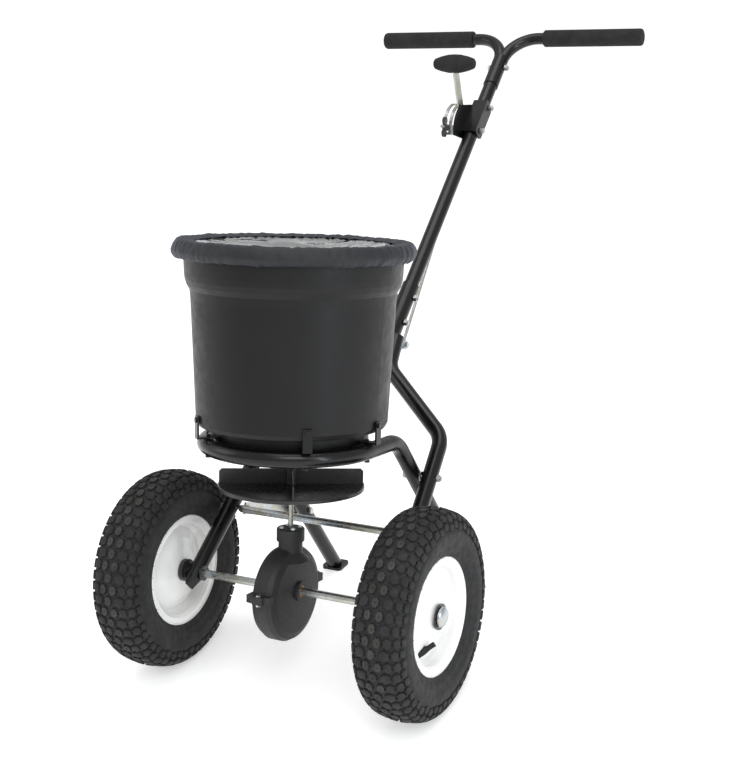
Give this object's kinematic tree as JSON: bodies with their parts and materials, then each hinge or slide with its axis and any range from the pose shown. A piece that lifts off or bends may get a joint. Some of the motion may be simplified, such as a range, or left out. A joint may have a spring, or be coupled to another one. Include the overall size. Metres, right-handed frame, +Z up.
{
  "type": "garden spreader",
  "caption": "Walk-behind broadcast spreader: round hopper with a fabric rain cover on a tube frame with air-filled wheels, geared spinner, T-handle and rate lever.",
  "frame": {"origin": "centre of the bottom of the bounding box, on the ground", "axes": "+X along the axle to the machine's free-turning wheel, +Y back toward the handle, +Z up"},
  "size_m": [0.538, 1.1316, 0.8828],
  "materials": {
    "tyre_rubber": "matte",
    "inner_rubber": "matte",
    "rim_paint": "gloss",
    "zinc": "satin",
    "frame_paint": "gloss",
    "gear_metal": "satin",
    "hopper_plastic": "matte",
    "housing_plastic": "matte",
    "black_plastic": "matte",
    "grip_rubber": "matte",
    "bronze": "satin",
    "cover_fabric": "matte",
    "clear_vinyl": "gloss"
  },
  "bodies": {
    "frame": {"axle_bushes": "black_plastic", "housing_lower": "housing_plastic", "housing_upper": "housing_plastic", "housing_bushes": "bronze", "housing_cap": "housing_plastic", "housing_screws": "zinc", "hopper": "hopper_plastic", "hopper_bush": "black_plastic", "gate_guides": "black_plastic", "hopper_straps": "frame_paint", "strap_screws": "frame_paint", "stand_hoop": "frame_paint", "leg_frame": "frame_paint", "cross_bolts": "zinc", "brace": "zinc", "brace_bolts": "zinc", "post": "frame_paint", "handle_bar": "frame_paint", "grip_left": "grip_rubber", "grip_right": "grip_rubber", "frame_bolts": "zinc", "lever_bracket": "frame_paint", "rate_plate": "zinc", "pivot_bolt": "zinc", "crank_bracket": "frame_paint", "crank_pin": "zinc"},
    "drive": {"axle": "zinc", "axle_caps": "zinc", "crown_gear": "gear_metal", "drive_pin": "zinc", "hub_bushes_left": "black_plastic", "rim_left": "rim_paint", "tyre_left": "tyre_rubber", "air_tube_left": "inner_rubber", "valve_left": "inner_rubber"},
    "wheel_right": {"rim_right": "rim_paint", "tyre_right": "tyre_rubber", "air_tube_right": "inner_rubber", "valve_right": "inner_rubber", "hub_bushes_right": "black_plastic"},
    "rotor": {"spinner_shaft": "zinc", "spinner": "black_plastic", "agitator": "zinc", "pinion": "gear_metal"},
    "lever": {"lever": "zinc", "knob": "grip_rubber"},
    "rod": {"control_rod": "zinc", "rod_clamp": "zinc"},
    "crank": {"bell_crank": "zinc"},
    "gate": {"gate": "zinc", "gate_link": "zinc"},
    "stop": {"stop_bolt": "zinc"},
    "wing": {"wing_nut": "black_plastic"},
    "cover": {"cover_skirt": "cover_fabric", "cover_window": "clear_vinyl"}
  },
  "joints": [
    {"name": "axle_spin", "type": "hinge", "parent": "frame", "child": "drive", "pos_m": [0, -0.4068, 0.159], "axis": [1, 0, 0], "continuous": true},
    {"name": "wheel_right_spin", "type": "hinge", "parent": "frame", "child": "wheel_right", "pos_m": [0.2275, -0.4068, 0.159], "axis": [1, 0, 0], "continuous": true},
    {"name": "spinner_spin", "type": "hinge", "parent": "frame", "child": "rotor", "pos_m": [0, -0.37186, 0.31923], "axis": [0, 0.213, 0.977], "continuous": true},
    {"name": "lever_swing", "type": "hinge", "parent": "frame", "child": "lever", "pos_m": [0, 0.35767, 0.72468], "axis": [1, 0, 0], "range_deg": [0, 30]},
    {"name": "rod_slide", "type": "slide", "parent": "frame", "child": "rod", "axis": [0, 0.7108, 0.7034], "range_m": [0, 0.01459]},
    {"name": "crank_turn", "type": "hinge", "parent": "frame", "child": "crank", "pos_m": [0, -0.01362, 0.38032], "axis": [1, 0, 0], "range_deg": [0, 38.67]},
    {"name": "gate_slide", "type": "slide", "parent": "frame", "child": "gate", "axis": [0, 0.977, -0.213], "range_m": [0, 0.02513]},
    {"name": "stop_swing", "type": "hinge", "parent": "frame", "child": "stop", "pos_m": [0, 0.35767, 0.72468], "axis": [1, 0, 0], "range_deg": [-14, 5]},
    {"name": "wing_spin", "type": "hinge", "parent": "stop", "child": "wing", "pos_m": [-0.029, 0.30994, 0.73955], "axis": [0, -0.9548, 0.2974], "continuous": true},
    {"name": "cover_lift", "type": "slide", "parent": "frame", "child": "cover", "axis": [0, 0.213, 0.977], "range_m": [0, 0.3]}
  ],
  "couplings": [
    {"joint": "spinner_spin", "follows": "axle_spin", "ratio": 5},
    {"joint": "rod_slide", "follows": "lever_swing", "m_per_rad": 0.027681},
    {"joint": "crank_turn", "follows": "lever_swing", "ratio": 1.2822},
    {"joint": "gate_slide", "follows": "lever_swing", "m_per_rad": 0.047813}
  ]
}
